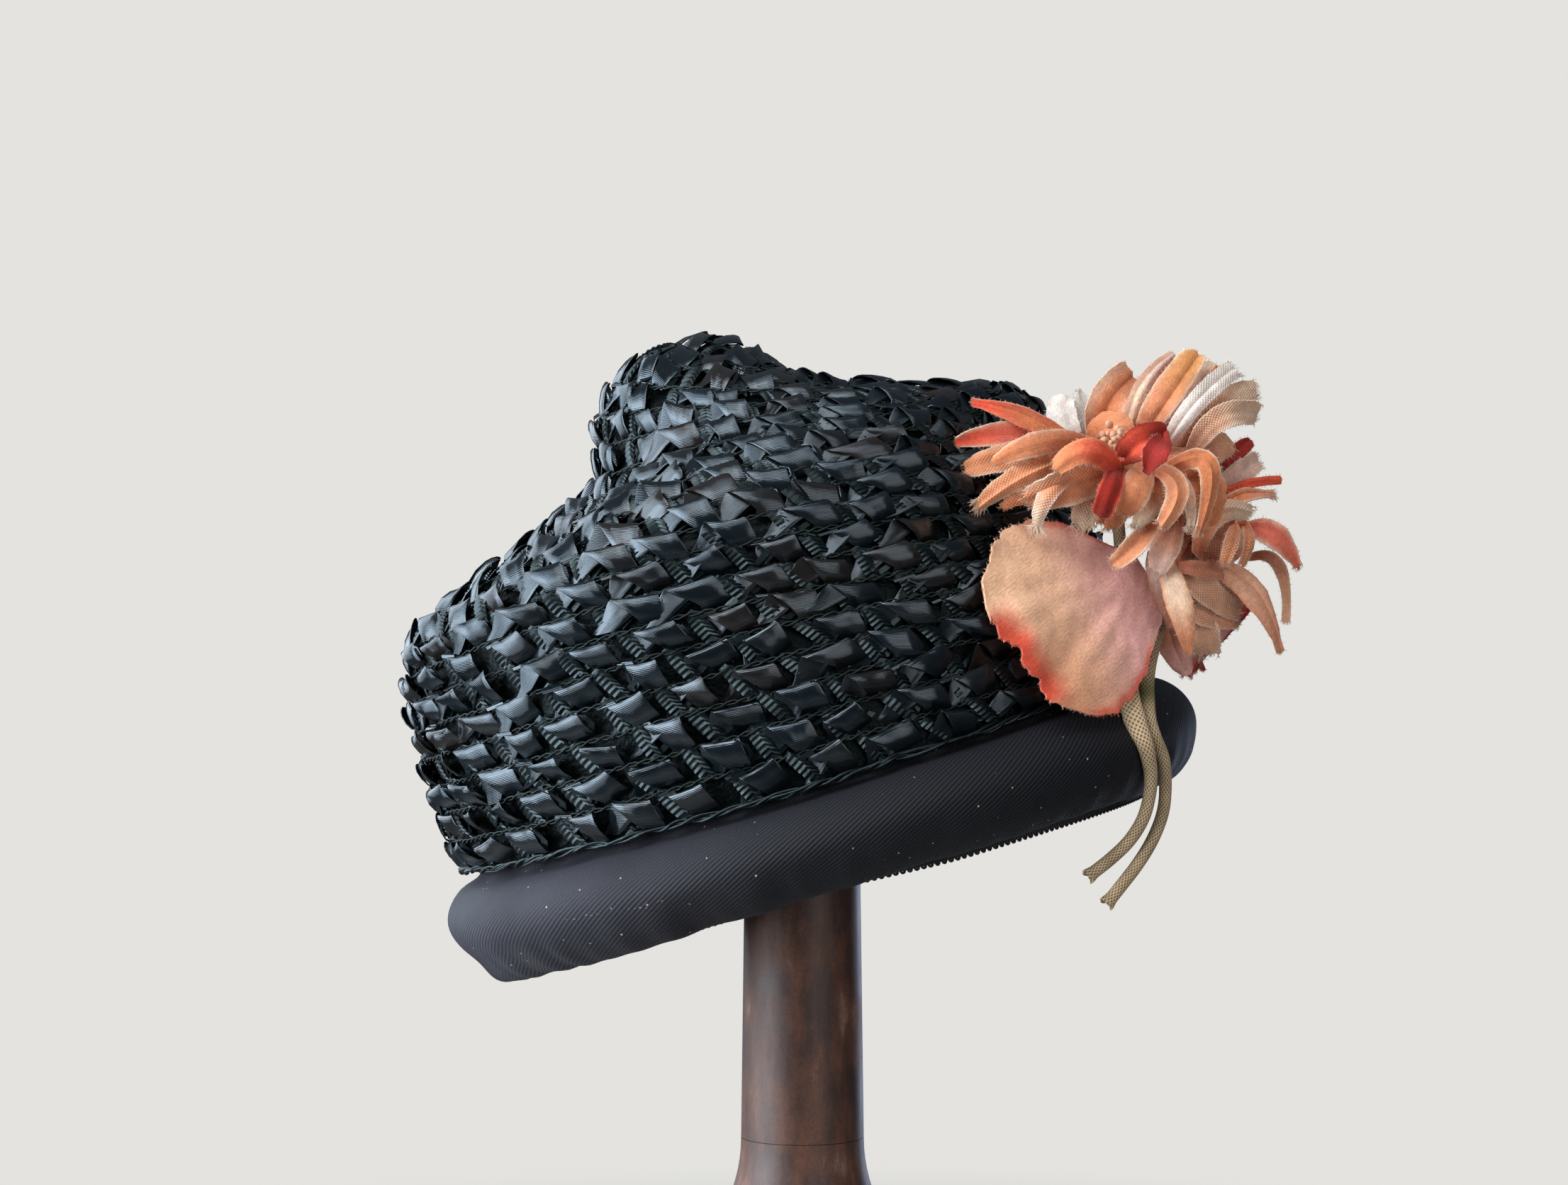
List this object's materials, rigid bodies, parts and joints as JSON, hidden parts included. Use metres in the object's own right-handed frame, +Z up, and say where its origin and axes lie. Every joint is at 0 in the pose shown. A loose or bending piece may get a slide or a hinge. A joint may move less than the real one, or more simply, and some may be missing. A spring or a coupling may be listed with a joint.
{
  "type": "pillbox hat on a display stand",
  "caption": "Tall pillbox hat of black looped straw braid with a padded dark cloth rim and a spray of peach velvet flowers, on a turned wooden display stand.",
  "frame": {"origin": "centre of the stand foot's flat underside", "axes": "+Z up along the stand post, +X towards the side with the flower spray, -Y towards the viewer"},
  "size_m": [0.2477, 0.196, 0.2881],
  "materials": {
    "stained_wood": "dark stained satin",
    "straw_braid": "shiny black straw",
    "ribbed_cloth": "dark ribbed cloth",
    "ribbon": "black grosgrain ribbon",
    "petal_velvet": "peach velvet",
    "leaf_velvet": "beige pink velvet",
    "wrapped_wire": "tan cloth wrap"
  },
  "bodies": {
    "root": {"stand_foot": "stained_wood", "stand_post": "stained_wood", "stand_cap": "stained_wood", "crown": "straw_braid", "band": "ribbed_cloth", "sweatband": "ribbon", "upper_flower": "petal_velvet", "lower_flower": "petal_velvet", "leaf_front": "leaf_velvet", "leaf_back": "leaf_velvet", "stem_upper": "wrapped_wire", "stem_lower": "wrapped_wire"}
  },
  "joints": []
}
